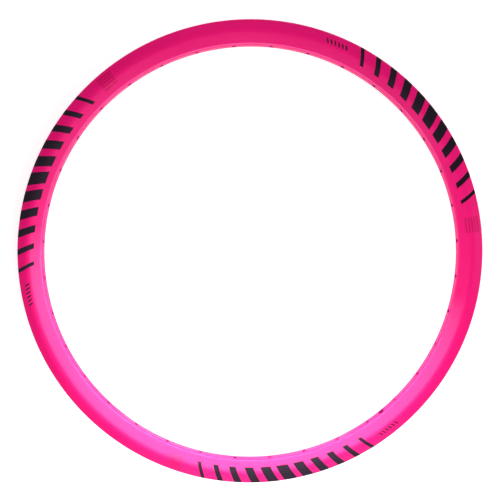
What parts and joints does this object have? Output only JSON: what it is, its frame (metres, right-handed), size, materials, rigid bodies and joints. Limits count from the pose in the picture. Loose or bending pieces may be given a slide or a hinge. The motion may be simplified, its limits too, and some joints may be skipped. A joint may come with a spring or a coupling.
{
  "type": "bicycle rim",
  "caption": "Deep painted bicycle rim: a hollow aluminium hoop with hooked tyre flanges, spoke holes and a valve hole.",
  "frame": {"origin": "centre of the wheel, on the axle line and the rim's middle plane", "axes": "+Z along the axle, up from the side that the rim lies on; +X through the valve hole"},
  "size_m": [0.5709, 0.571, 0.0244],
  "materials": {
    "pink_coat": "gloss",
    "bare_aluminium": "satin"
  },
  "bodies": {
    "root": {"rim_hoop": "pink_coat", "joint_sleeve": "bare_aluminium"}
  },
  "joints": []
}
